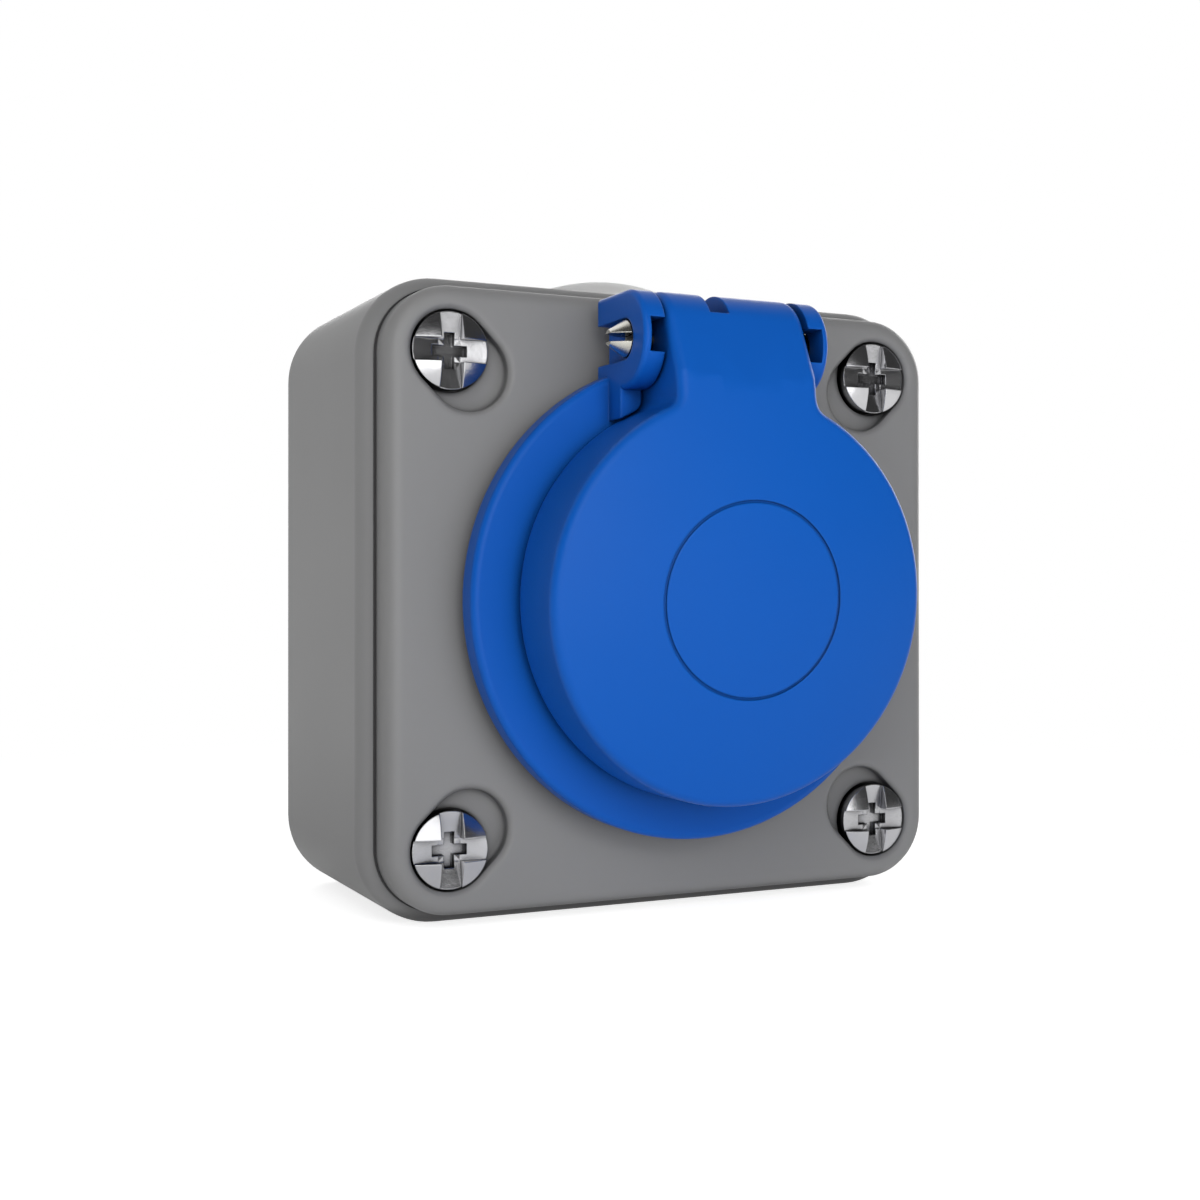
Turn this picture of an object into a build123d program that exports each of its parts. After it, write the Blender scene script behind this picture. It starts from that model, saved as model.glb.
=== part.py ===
from build123d import *
from math import cos, radians, sin, sqrt
import os

# Wall socket: a square wall box, a screwed front cover and a round plug socket with a sprung lid.
# Pieces are drawn as seen from the front: X right, Y up, Z out of the wall, origin on the wall.
# The last function turns each one into the model frame: X right, +Y into the wall, +Z up.

# Wall box
BOX_SIDE = 80.0
BOX_DEPTH = 37.3
BOX_CORNER_R = 10.0
BOX_WALL = 3.0
BOX_BACK_WALL = 3.0
BOX_FRONT_EDGE_R = 2.5
BOX_BACK_EDGE_R = 1.0
RIM_WIDTH = 5.4
RIM_DEPTH = 5.0
SEAL_WIDTH = 1.6
SEAL_DEPTH = 1.6
SEAL_EDGE_WALL = 3.3
POST_R = 5.6
POST_DROP = 3.0

# Screws that hold the cover
SCREW_INSET = 9.8
SCREW_HEAD_D = 9.5
SCREW_HEAD_H = 3.8
SCREW_HEAD_RIM_H = 2.8
SCREW_SHANK_D = 4.9
SCREW_LENGTH = 18.0
SCREW_TIP_GAP = 1.0
SCREW_SLOT_W = 2.8
SCREW_SLOT_DEPTH = 1.3
SCREW_SLOT_DROP = 0.6
SCREW_CROSS_W = 1.3
SCREW_CROSS_SPAN = 4.4
SCREW_CROSS_DEPTH = 2.5
INSERT_R = 3.5
INSERT_LENGTH = 10.0
INSERT_CLEARANCE = 0.05

# Front cover
COVER_STEP = 1.8
COVER_THICKNESS = 5.2
COVER_EDGE_R = 1.8
COVER_FOOT_GAP = 0.6
COVER_FOOT_INSET = 0.8
COVER_PLATE = 2.8
TONGUE_WIDTH = 1.4
TONGUE_DEPTH = 2.0
TONGUE_CLEARANCE = 0.3
POCKET_R = 5.05
POCKET_REACH = 2.3
POCKET_DEPTH = 1.9
POCKET_RIM = 0.5
HEAD_ABOVE_FACE = 0.7
BOSS_R = 4.0
BOSS_HOLE_R = 2.7
LAND_INSET = 2.0
LAND_HEIGHT = 2.5
LAND_WALL = 2.6
LAND_PLATE = 2.8

# Socket frame
FLANGE_SEAL_T = 0.8
FLANGE_WIDTH = 7.4
FLANGE_T = 3.4
FLANGE_EDGE_R = 0.9
COLLAR_WALL = 1.6
COLLAR_HEIGHT = 6.8
COLLAR_LIP_T = 1.6
BARREL_LENGTH = 15.8
BARREL_CLEARANCE = 0.4
NUT_THREAD_CLEARANCE = 0.05
NUT_WALL = 2.4
NUT_T = 4.5
NUT_NOTCHES = 6
NUT_NOTCH_W = 4.0
NUT_NOTCH_DEPTH = 1.2

# Plug well
WELL_R = 19.75
WELL_WALL = 1.2
WELL_DEPTH = 17.5
WELL_FLOOR = 3.0
WELL_SLIP = 0.05
WELL_SKIRT_LENGTH = 3.0
WELL_SKIRT_WALL = 2.75
PIN_SPACING = 19.0
PIN_HOLE_R = 2.7
PIN_BOSS_R = 4.2
RIB_WIDTH = 4.4
RIB_REACH = 2.1
RIB_STOP = 3.0
RETAINER_T = 1.1
RETAINER_REACH = 1.4
RETAINER_BITE = 0.5
RETAINER_CLEARANCE = 0.05
RETAINER_GAP_DEG = 40.0

# Contacts and their carrier
CARRIER_GAP = 0.3
CARRIER_LENGTH = 13.0
SLEEVE_R = 3.1
SLEEVE_BORE_R = 2.5
SLEEVE_FRONT_GAP = 0.2
SLEEVE_CLEARANCE = 0.05
SLEEVE_SLIT_W = 0.6
SLEEVE_SLIT_LENGTH = 7.0
CLAMP_RING_T = 0.6
CLAMP_RING_W = 2.0
CLAMP_RING_SETBACK = 2.0
CLAMP_RING_GAP_DEG = 70.0
PLATE_T = 0.8
FLAG_WIDTH = 6.4
FLAG_END_Y = -12.4
TERMINAL_Y = -8.7
TERMINAL_SCREW_R = 1.7
TERMINAL_SCREW_REACH = 6.0
TERMINAL_HEAD_R = 3.0
TERMINAL_HEAD_H = 2.0
TERMINAL_SLOT_W = 0.9
CLAMP_T = 1.0
HOLE_CLEARANCE = 0.05
BORE_END_GAP = 0.3
PARTITION_T = 1.0
PARTITION_HEIGHT = 4.6
STRAP_WIDTH = 5.0
STRAP_LEG_INSET = 0.75
STRAP_PINCH_REACH = 1.8
STRAP_TIP_DROP = 2.2
STRAP_PINCH_DROP = 5.2
STRAP_BEND_RISE = 1.0
STRAP_SLOT_CLEARANCE = 0.35
CARRIER_SCREW_X = 8.5
CARRIER_SCREW_INSET = 5.9
CARRIER_SCREW_R = 1.4
CARRIER_SCREW_HEAD_R = 2.6
CARRIER_SCREW_HEAD_H = 1.8
CARRIER_SCREW_BITE = 4.8
CARRIER_SCREW_WALL = 1.4

# Lid and hinge
HINGE_OUT = 6.45
HINGE_RISE = 4.5
KNUCKLE_R = 5.9
PIN_R = 1.5
PIN_CLEARANCE = 0.05
NECK_HALF = 9.4
EAR_GAP = 0.35
EAR_T = 2.75
EAR_EDGE_R = 0.6
EAR_WINDOW_HEIGHT = 4.1
EAR_WINDOW_WIDTH = 1.9
EAR_RECESS_R = 2.5
EAR_RECESS_DEPTH = 1.5
EAR_RIB_HEIGHT = 3.4
HINGE_RELIEF = 0.4
PIN_CONE_R = 2.25
PIN_CONE_TIP_R = 0.95
PIN_CONE_LENGTH = 2.1
PIN_SLOT_W = 1.0
PIN_SLOT_LENGTH = 3.2
LID_SKIRT_GAP = 0.5
LID_SKIRT_WALL = 1.7
LID_LIFT = 2.0
LID_CROWN_RISE = 7.85
LID_CROWN_R = 119.0
LID_TILT_DEG = 3.7
LID_EDGE_R = 1.3
LID_FUSE_TOLERANCE = 0.0001
LID_TOP_WALL = 2.6
LID_NECK_FILLET = 2.0
NECK_SLOPE_DEG = 25.6
FINGER_TAB_R = 3.0
FINGER_TAB_REACH = 0.8
FINGER_TAB_T = 1.2
FINGER_TAB_SETBACK = 0.8
LID_SEAL_T = 1.4
LID_SEAL_GAP = 0.2
LID_SEAL_WIDTH = 2.6
LID_RING_R = 11.66
LID_RING_W = 0.35
LID_RING_DEPTH = 0.25
NOTCH_WIDTH = 2.6
NOTCH_DEPTH = 2.7
SPRING_WIRE_R = 0.4
SPRING_MEAN_R = 2.5
SPRING_TURNS = 5
SPRING_PITCH = 1.2
SPRING_START_X = -2.2
SPRING_HOUSING_R = 3.6
SPRING_HOUSING_HALF = 5.5
SPRING_FRAME_LEG = 7.0
SPRING_LID_LEG = 5.0

# Cable membrane on top of the box
MEMBRANE_Z = 17.5
MEMBRANE_HOLE_R = 9.6
MEMBRANE_FIT = 0.1
MEMBRANE_RIM_R = 12.7
MEMBRANE_RISE = 4.4
MEMBRANE_LIP_R = 10.9
MEMBRANE_LIP_T = 1.3
MEMBRANE_SKIN = 1.0
MEMBRANE_RIM_T = 0.9
MEMBRANE_NECK_WALL = 1.5

# Holes that fix the box to the wall
FIXING_EDGE = 11.0
FIXING_HOLE_R = 2.3
FIXING_PAD_R = 4.2
FIXING_PAD_H = 1.0

# Sizes across that follow from the sizes above
SCREW_PITCH = BOX_SIDE - 2 * SCREW_INSET
COVER_SIDE = BOX_SIDE - 2 * COVER_STEP
COVER_CORNER_R = BOX_CORNER_R - COVER_STEP
FIXING_X = BOX_SIDE / 4
FIXING_Y = BOX_SIDE / 2 - FIXING_EDGE
WELL_OUTER_R = WELL_R + WELL_WALL
COLLAR_BORE_R = WELL_OUTER_R + WELL_SLIP
COLLAR_R = COLLAR_BORE_R + COLLAR_WALL
FLANGE_R = COLLAR_R + FLANGE_WIDTH
LAND_R = FLANGE_R - LAND_INSET
NUT_R = COLLAR_R + NUT_WALL
RETAINER_INNER_R = COLLAR_BORE_R - RETAINER_REACH
CARRIER_R = WELL_OUTER_R - WELL_SKIRT_WALL - CARRIER_GAP
CARRIER_SCREW_Y = CARRIER_R - CARRIER_SCREW_INSET
STRAP_LEG_Y = WELL_R - STRAP_LEG_INSET
STRAP_PINCH_Y = STRAP_LEG_Y - STRAP_PINCH_REACH
LID_R = COLLAR_R + LID_SKIRT_GAP + LID_SKIRT_WALL
HINGE_Y = LID_R + HINGE_OUT

# Planes that follow from the sizes above
RIM_Z = BOX_DEPTH
COVER_FACE_Z = RIM_Z + COVER_THICKNESS
LAND_Z = COVER_FACE_Z + LAND_HEIGHT
FLANGE_BACK_Z = LAND_Z + FLANGE_SEAL_T
FLANGE_FACE_Z = FLANGE_BACK_Z + FLANGE_T
COLLAR_Z = FLANGE_FACE_Z + COLLAR_HEIGHT
BARREL_END_Z = FLANGE_BACK_Z - BARREL_LENGTH
WELL_FLOOR_Z = COLLAR_Z - WELL_DEPTH
WELL_BACK_Z = WELL_FLOOR_Z - WELL_FLOOR
CARRIER_FRONT_Z = WELL_BACK_Z - WELL_SKIRT_LENGTH
CARRIER_BACK_Z = CARRIER_FRONT_Z - CARRIER_LENGTH
SCREW_AT = SCREW_PITCH / 2
HEAD_TOP_Z = COVER_FACE_Z + HEAD_ABOVE_FACE
HEAD_SEAT_Z = HEAD_TOP_Z - SCREW_HEAD_H
POST_TOP_Z = RIM_Z - POST_DROP
CLAMP_BACK_Z = CARRIER_BACK_Z - PLATE_T - CLAMP_T
HINGE_Z = FLANGE_FACE_Z + HINGE_RISE
LID_CROWN_Z = COLLAR_Z + LID_CROWN_RISE
LID_SKIRT_Z = FLANGE_FACE_Z + LID_LIFT
LID_SEAL_Z = COLLAR_Z + LID_SEAL_GAP
LID_SEAL_TOP_Z = LID_SEAL_Z + LID_SEAL_T
EAR_INNER_X = NECK_HALF + EAR_GAP
EAR_OUTER_X = EAR_INNER_X + EAR_T


def disc(radius, low, high, x=0.0, y=0.0):
    """A round bar along Z between two heights."""
    return Pos(x, y, low) * extrude(Circle(radius), high - low)


def ring(outer, inner, low, high, x=0.0, y=0.0):
    """A round tube along Z between two heights."""
    return Pos(x, y, low) * extrude(Circle(outer) - Circle(inner), high - low)


def block(x_low, x_high, y_low, y_high, z_low, z_high):
    """A box between six planes."""
    size = (x_high - x_low, y_high - y_low, z_high - z_low)
    return Pos(x_low, y_low, z_low) * Box(*size, align=(Align.MIN, Align.MIN, Align.MIN))


def rounded_slab(side, corner, low, high):
    """A square plate with round corners between two heights."""
    return Pos(0, 0, low) * extrude(RectangleRounded(side, side, corner), high - low)


def bar_along_x(radius, x_low, x_high, y, z):
    """A round bar along X."""
    return Pos(x_low, y, z) * Rot(0, 90, 0) * extrude(Circle(radius), x_high - x_low)


def corners(distance_x, distance_y):
    """The four places of a rectangle about the middle."""
    return [(sx * distance_x, sy * distance_y) for sx in (-1, 1) for sy in (-1, 1)]


def stadium(radius, reach, x, y, low, high, taper=0.0):
    """A round hole at a corner screw, stretched towards the middle of the cover."""
    step = reach / 2
    toward_x = -1 if x > 0 else 1
    toward_y = -1 if y > 0 else 1
    angle = 45 * toward_x * toward_y
    place = Pos(x + toward_x * step, y + toward_y * step, low) * Rot(0, 0, angle)
    return place * extrude(SlotCenterToCenter(reach * sqrt(2), 2 * radius), high - low, taper=taper)


def housing():
    """Moulded box with a thick rim, a seal groove, corner posts, a cable hole and fixing holes."""
    body = rounded_slab(BOX_SIDE, BOX_CORNER_R, 0, BOX_DEPTH)
    front = body.edges().group_by(Axis.Z)[-1]
    body = fillet(front, BOX_FRONT_EDGE_R)
    back = body.edges().group_by(Axis.Z)[0]
    body = fillet(back, BOX_BACK_EDGE_R)

    inner_side = BOX_SIDE - 2 * BOX_WALL
    cavity = RectangleRounded(inner_side, inner_side, BOX_CORNER_R - BOX_WALL)
    for x, y in corners(SCREW_AT, SCREW_AT):
        post = Pos(x, y) * Circle(POST_R)
        out_x = x + (inner_side / 2 if x > 0 else -inner_side / 2)
        out_y = y + (inner_side / 2 if y > 0 else -inner_side / 2)
        web_x = Pos((x + out_x) / 2, y) * Rectangle(abs(out_x - x), 2 * POST_R)
        web_y = Pos(x, (y + out_y) / 2) * Rectangle(2 * POST_R, abs(out_y - y))
        cavity -= post + web_x + web_y
    rim_z = BOX_DEPTH - RIM_DEPTH
    body -= Pos(0, 0, BOX_BACK_WALL) * extrude(cavity, rim_z - BOX_BACK_WALL)

    mouth_side = BOX_SIDE - 2 * RIM_WIDTH
    mouth_corner = BOX_CORNER_R - RIM_WIDTH
    mouth = rounded_slab(mouth_side, mouth_corner, rim_z, BOX_DEPTH)
    for x, y in corners(SCREW_AT, SCREW_AT):
        mouth -= block(*sorted((x, 2 * x)), *sorted((y, 2 * y)), rim_z, POST_TOP_Z)
        mouth -= disc(POST_R, rim_z, POST_TOP_Z, x, y)
    body -= mouth

    groove_side = BOX_SIDE - 2 * SEAL_EDGE_WALL
    groove_corner = BOX_CORNER_R - SEAL_EDGE_WALL
    body -= rounded_frame(groove_side, groove_corner, SEAL_WIDTH, RIM_Z - SEAL_DEPTH, RIM_Z)

    for x, y in corners(SCREW_AT, SCREW_AT):
        body -= disc(INSERT_R, POST_TOP_Z - INSERT_LENGTH, POST_TOP_Z, x, y)
        body -= disc(BOSS_HOLE_R, HEAD_SEAT_Z - SCREW_LENGTH - SCREW_TIP_GAP, POST_TOP_Z, x, y)

    for x, y in corners(FIXING_X, FIXING_Y):
        body += disc(FIXING_PAD_R, BOX_BACK_WALL, BOX_BACK_WALL + FIXING_PAD_H, x, y)
        body -= disc(FIXING_HOLE_R, 0, BOX_BACK_WALL + FIXING_PAD_H, x, y)

    cable_hole = Pos(0, BOX_SIDE / 2, MEMBRANE_Z) * Rot(90, 0, 0) * extrude(Circle(MEMBRANE_HOLE_R), BOX_WALL)
    return body - cable_hole


def rounded_frame(side, corner, width, low, high):
    """A square frame with round corners, as wide as a groove or its seal."""
    outer = RectangleRounded(side, side, corner)
    inner = RectangleRounded(side - 2 * width, side - 2 * width, corner - width)
    return Pos(0, 0, low) * extrude(outer - inner, high - low)


def cover_seal():
    """Rubber cord that fills the groove in the rim."""
    side = BOX_SIDE - 2 * SEAL_EDGE_WALL
    corner = BOX_CORNER_R - SEAL_EDGE_WALL
    return rounded_frame(side, corner, SEAL_WIDTH, RIM_Z - SEAL_DEPTH, RIM_Z)


def cover_inserts():
    """Threaded brass bushes moulded into the corner posts."""
    bore_r = SCREW_SHANK_D / 2 + INSERT_CLEARANCE
    low = POST_TOP_Z - INSERT_LENGTH
    return [ring(INSERT_R, bore_r, low, POST_TOP_Z, x, y) for x, y in corners(SCREW_AT, SCREW_AT)]


def cover():
    """Moulded cover: thin plate, locating tongue, screw pockets and a raised round land."""
    body = rounded_slab(COVER_SIDE, COVER_CORNER_R, RIM_Z, COVER_FACE_Z)
    body = fillet(body.edges().group_by(Axis.Z)[-1], COVER_EDGE_R)
    body -= rounded_frame(COVER_SIDE, COVER_CORNER_R, COVER_FOOT_INSET, RIM_Z, RIM_Z + COVER_FOOT_GAP)

    mouth_side = BOX_SIDE - 2 * RIM_WIDTH
    mouth_corner = BOX_CORNER_R - RIM_WIDTH
    tongue_side = mouth_side - 2 * TONGUE_CLEARANCE
    tongue_corner = mouth_corner - TONGUE_CLEARANCE
    body += rounded_frame(tongue_side, tongue_corner, TONGUE_WIDTH, RIM_Z - TONGUE_DEPTH, RIM_Z)
    hollow_side = tongue_side - 2 * TONGUE_WIDTH
    hollow_corner = tongue_corner - TONGUE_WIDTH
    hollow = rounded_slab(hollow_side, hollow_corner, RIM_Z, COVER_FACE_Z - COVER_PLATE)
    for x, y in corners(SCREW_AT, SCREW_AT):
        cup_wall = POCKET_R + COVER_PLATE / 2
        hollow -= stadium(cup_wall, POCKET_REACH, x, y, RIM_Z, COVER_FACE_Z)
    body -= hollow

    body += disc(LAND_R, COVER_FACE_Z - COVER_PLATE, LAND_Z)
    body -= disc(LAND_R - LAND_WALL, RIM_Z, LAND_Z - LAND_PLATE)
    body -= disc(COLLAR_R + BARREL_CLEARANCE, RIM_Z, LAND_Z)

    for x, y in corners(SCREW_AT, SCREW_AT):
        body += disc(BOSS_R, POST_TOP_Z, RIM_Z, x, y)
        body -= stadium(POCKET_R, POCKET_REACH, x, y, COVER_FACE_Z - POCKET_DEPTH, COVER_FACE_Z)
        body -= stadium(POCKET_R, POCKET_REACH, x, y, COVER_FACE_Z - POCKET_RIM, COVER_FACE_Z, -45)
        body -= disc(POCKET_R, HEAD_SEAT_Z, COVER_FACE_Z, x, y)
        body -= disc(BOSS_HOLE_R, POST_TOP_Z, COVER_FACE_Z, x, y)
    return body


def cover_screw(x, y):
    """Pan head screw with a full crossed slot and a deeper cross in the middle."""
    head = disc(SCREW_HEAD_D / 2, HEAD_SEAT_Z, HEAD_SEAT_Z + SCREW_HEAD_RIM_H)
    rise = SCREW_HEAD_H - SCREW_HEAD_RIM_H
    half = SCREW_HEAD_D / 2
    dome_r = (half ** 2 + rise ** 2) / (2 * rise)
    dome = Pos(0, 0, HEAD_TOP_Z - dome_r) * Sphere(dome_r)
    head += disc(half, HEAD_SEAT_Z + SCREW_HEAD_RIM_H, HEAD_TOP_Z) & dome
    slot = [
        (0, HEAD_TOP_Z),
        (half, HEAD_TOP_Z),
        (half, HEAD_TOP_Z - SCREW_SLOT_DEPTH),
        (0, HEAD_TOP_Z - SCREW_SLOT_DEPTH - SCREW_SLOT_DROP),
    ]
    slot_arm = extrude(Plane.XZ * make_face(Polyline(*slot, close=True)), SCREW_SLOT_W / 2, both=True)
    cross_arm = block(0, SCREW_CROSS_SPAN / 2, -SCREW_CROSS_W / 2, SCREW_CROSS_W / 2,
                      HEAD_TOP_Z - SCREW_CROSS_DEPTH, HEAD_TOP_Z)
    for angle in (0, 90, 180, 270):
        head -= Rot(0, 0, angle) * slot_arm
        head -= Rot(0, 0, angle) * cross_arm
    shank = disc(SCREW_SHANK_D / 2, HEAD_SEAT_Z - SCREW_LENGTH, HEAD_SEAT_Z)
    return Pos(x, y, 0) * (head + shank)


def flange_seal():
    """Flat gasket between the cover's land and the blue flange."""
    return ring(LAND_R - BARREL_CLEARANCE, COLLAR_R + BARREL_CLEARANCE, LAND_Z, FLANGE_BACK_Z)


def ear(side):
    """Hinge ear: a round-nosed plate with a foot that runs down the flange to the lid's edge."""
    x_low, x_high = sorted((side * EAR_INNER_X, side * EAR_OUTER_X))
    nose = bar_along_x(KNUCKLE_R, x_low, x_high, HINGE_Y, HINGE_Z)
    web = block(x_low, x_high, HINGE_Y - KNUCKLE_R, HINGE_Y + KNUCKLE_R, FLANGE_BACK_Z, HINGE_Z)
    body = nose + web
    outer_face = body.faces().sort_by(Axis.X)[0 if side < 0 else -1]
    rim = [edge for edge in outer_face.edges() if (edge @ 0.5).Z > FLANGE_BACK_Z + EAR_EDGE_R]
    body = fillet(rim, EAR_EDGE_R)
    window_low, window_high = sorted((side * EAR_INNER_X, side * (EAR_INNER_X + EAR_WINDOW_WIDTH)))
    half = EAR_WINDOW_HEIGHT / 2
    body -= block(window_low, window_high, HINGE_Y - half, HINGE_Y + half, HINGE_Z, HINGE_Z + KNUCKLE_R)
    recess_low, recess_high = sorted((side * (EAR_OUTER_X - EAR_RECESS_DEPTH), side * EAR_OUTER_X))
    body -= bar_along_x(EAR_RECESS_R, recess_low, recess_high, HINGE_Y, HINGE_Z)
    body -= block(recess_low, recess_high, HINGE_Y - EAR_RECESS_R, HINGE_Y + EAR_RECESS_R,
                  FLANGE_BACK_Z, HINGE_Z)
    rib_top = FLANGE_FACE_Z + EAR_RIB_HEIGHT
    rib = block(x_low, x_high, LID_R / 2, HINGE_Y - KNUCKLE_R + EAR_EDGE_R, FLANGE_BACK_Z, rib_top)
    lid_room = offset(lid_outline(), EAR_GAP)
    return body + (rib - Pos(0, 0, FLANGE_BACK_Z) * extrude(lid_room, rib_top - FLANGE_BACK_Z))


def socket_frame():
    """Blue frame: flange, collar, rear barrel and the two hinge ears, moulded as one."""
    flange = disc(FLANGE_R, FLANGE_BACK_Z, FLANGE_FACE_Z)
    flange = fillet(flange.edges().group_by(Axis.Z)[-1], FLANGE_EDGE_R)
    body = flange + disc(COLLAR_R, BARREL_END_Z, COLLAR_Z)
    for side in (-1, 1):
        body += ear(side)
    relief_r = KNUCKLE_R + HINGE_RELIEF
    body -= bar_along_x(relief_r, -EAR_INNER_X, EAR_INNER_X, HINGE_Y, HINGE_Z)
    body -= disc(COLLAR_BORE_R, BARREL_END_Z, COLLAR_Z - COLLAR_LIP_T)
    body -= disc(WELL_R, COLLAR_Z - COLLAR_LIP_T, COLLAR_Z)
    groove_r = COLLAR_BORE_R + RETAINER_BITE + RETAINER_CLEARANCE
    body -= ring(groove_r, COLLAR_BORE_R - RETAINER_BITE, CARRIER_FRONT_Z - RETAINER_T, CARRIER_FRONT_Z)
    body -= spring_leg_hole(0, SPRING_FRAME_LEG)
    bore_r = PIN_R + PIN_CLEARANCE
    return body - bar_along_x(bore_r, -EAR_OUTER_X, EAR_OUTER_X, HINGE_Y, HINGE_Z)


def clamp_nut():
    """Ring nut behind the cover that pulls the flange onto its seal."""
    top = LAND_Z - LAND_PLATE
    body = ring(NUT_R, COLLAR_R + NUT_THREAD_CLEARANCE, top - NUT_T, top)
    reach = NUT_R - NUT_NOTCH_DEPTH
    for step in range(NUT_NOTCHES):
        notch = block(reach, 2 * NUT_R, -NUT_NOTCH_W / 2, NUT_NOTCH_W / 2, top - NUT_T, top)
        body -= Rot(0, 0, step * 360 / NUT_NOTCHES) * notch
    return body


def contact_well():
    """Moulded cup that takes the plug, with pin holes, guide ribs and slots for the earth strap."""
    top = COLLAR_Z - COLLAR_LIP_T
    body = disc(WELL_OUTER_R, CARRIER_FRONT_Z, top)
    body -= disc(WELL_R, WELL_FLOOR_Z, top)
    body -= disc(WELL_OUTER_R - WELL_SKIRT_WALL, CARRIER_FRONT_Z, WELL_BACK_Z)
    for side in (-1, 1):
        body += disc(PIN_BOSS_R, CARRIER_FRONT_Z, WELL_BACK_Z, side * PIN_SPACING / 2)
        screw_boss_r = CARRIER_SCREW_R + HOLE_CLEARANCE + CARRIER_SCREW_WALL
        body += disc(screw_boss_r, CARRIER_FRONT_Z, WELL_BACK_Z, side * CARRIER_SCREW_X, CARRIER_SCREW_Y)
        rib_low, rib_high = sorted((side * (WELL_R - RIB_REACH), side * (WELL_OUTER_R - WELL_SLIP)))
        rib = block(rib_low, rib_high, -RIB_WIDTH / 2, RIB_WIDTH / 2, WELL_FLOOR_Z, top - RIB_STOP)
        body += rib & disc(WELL_OUTER_R, WELL_FLOOR_Z, top)
        body -= disc(PIN_HOLE_R, CARRIER_FRONT_Z, WELL_FLOOR_Z, side * PIN_SPACING / 2)
        body -= disc(CARRIER_SCREW_R + HOLE_CLEARANCE, CARRIER_FRONT_Z, CARRIER_FRONT_Z + CARRIER_SCREW_BITE,
                     side * CARRIER_SCREW_X, CARRIER_SCREW_Y)
        slot_half = STRAP_WIDTH / 2 + STRAP_SLOT_CLEARANCE
        slot_low, slot_high = sorted((side * (STRAP_LEG_Y - PLATE_T / 2 - STRAP_SLOT_CLEARANCE),
                                      side * (STRAP_LEG_Y + PLATE_T / 2 + STRAP_SLOT_CLEARANCE)))
        body -= block(-slot_half, slot_half, slot_low, slot_high, CARRIER_FRONT_Z, WELL_FLOOR_Z)
    return body


def retaining_ring():
    """Open spring ring in the barrel's groove that holds the well from behind."""
    outer = COLLAR_BORE_R + RETAINER_BITE
    body = ring(outer, RETAINER_INNER_R, CARRIER_FRONT_Z - RETAINER_T, CARRIER_FRONT_Z)
    return body - wedge(outer, RETAINER_GAP_DEG, CARRIER_FRONT_Z - RETAINER_T, CARRIER_FRONT_Z)


def wedge(radius, angle, low, high):
    """A slice about the direction straight to the right, as wide as the angle and past the radius."""
    half = radians(angle / 2)
    width = 2 * radius * sin(half) / cos(half)
    points = [(0, 0), (2 * radius, width), (2 * radius, -width)]
    return Pos(0, 0, low) * extrude(make_face(Polyline(*points, close=True)), high - low)


def contact_carrier():
    """Rear block that holds the contact sleeves and keeps the terminals apart."""
    body = disc(CARRIER_R, CARRIER_BACK_Z, CARRIER_FRONT_Z)
    for side in (-1, 1):
        x = side * PIN_SPACING / 2
        body -= disc(SLEEVE_R + SLEEVE_CLEARANCE, CARRIER_BACK_Z, CARRIER_FRONT_Z, x)
        ring_r = SLEEVE_R + CLAMP_RING_T + SLEEVE_CLEARANCE
        ring_low = CARRIER_FRONT_Z - CLAMP_RING_SETBACK - CLAMP_RING_W
        body -= disc(ring_r, ring_low, CARRIER_FRONT_Z, x)
        body -= disc(CARRIER_SCREW_R + HOLE_CLEARANCE, CARRIER_BACK_Z, CARRIER_FRONT_Z,
                     side * CARRIER_SCREW_X, CARRIER_SCREW_Y)
        middle = side * PIN_SPACING / 4
        body += block(middle - PARTITION_T / 2, middle + PARTITION_T / 2, FLAG_END_Y,
                      TERMINAL_Y + FLAG_WIDTH / 2, CARRIER_BACK_Z - PARTITION_HEIGHT, CARRIER_BACK_Z)
    for x in terminal_places():
        body -= disc(TERMINAL_SCREW_R + HOLE_CLEARANCE, CARRIER_BACK_Z,
                     CARRIER_BACK_Z + TERMINAL_SCREW_REACH, x, TERMINAL_Y)
    return body


def terminal_places():
    """Left contact, earth and right contact."""
    return (-PIN_SPACING / 2, 0.0, PIN_SPACING / 2)


def contact(side):
    """Slit brass sleeve with a flat flag for its terminal screw."""
    x = side * PIN_SPACING / 2
    front = CARRIER_FRONT_Z - SLEEVE_FRONT_GAP
    body = disc(SLEEVE_R, CARRIER_BACK_Z, front, x)
    flag_low = CARRIER_BACK_Z - PLATE_T
    body += block(x - FLAG_WIDTH / 2, x + FLAG_WIDTH / 2, FLAG_END_Y, 0, flag_low, CARRIER_BACK_Z)
    body += disc(FLAG_WIDTH / 2, flag_low, CARRIER_BACK_Z, x)
    body -= disc(SLEEVE_BORE_R, flag_low, front, x)
    for angle in (0, 90):
        slit = block(-SLEEVE_R, SLEEVE_R, -SLEEVE_SLIT_W / 2, SLEEVE_SLIT_W / 2,
                     front - SLEEVE_SLIT_LENGTH, front)
        body -= Pos(x, 0, 0) * Rot(0, 0, angle) * slit
    return body - disc(TERMINAL_SCREW_R + HOLE_CLEARANCE, flag_low, CARRIER_BACK_Z, x, TERMINAL_Y)


def contact_clamp_ring(side):
    """Open steel ring that keeps a sleeve tight on the plug's pin."""
    high = CARRIER_FRONT_Z - CLAMP_RING_SETBACK
    low = high - CLAMP_RING_W
    body = ring(SLEEVE_R + CLAMP_RING_T, SLEEVE_R, low, high)
    body -= wedge(SLEEVE_R + CLAMP_RING_T, CLAMP_RING_GAP_DEG, low, high)
    return Pos(side * PIN_SPACING / 2, 0, 0) * body


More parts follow.
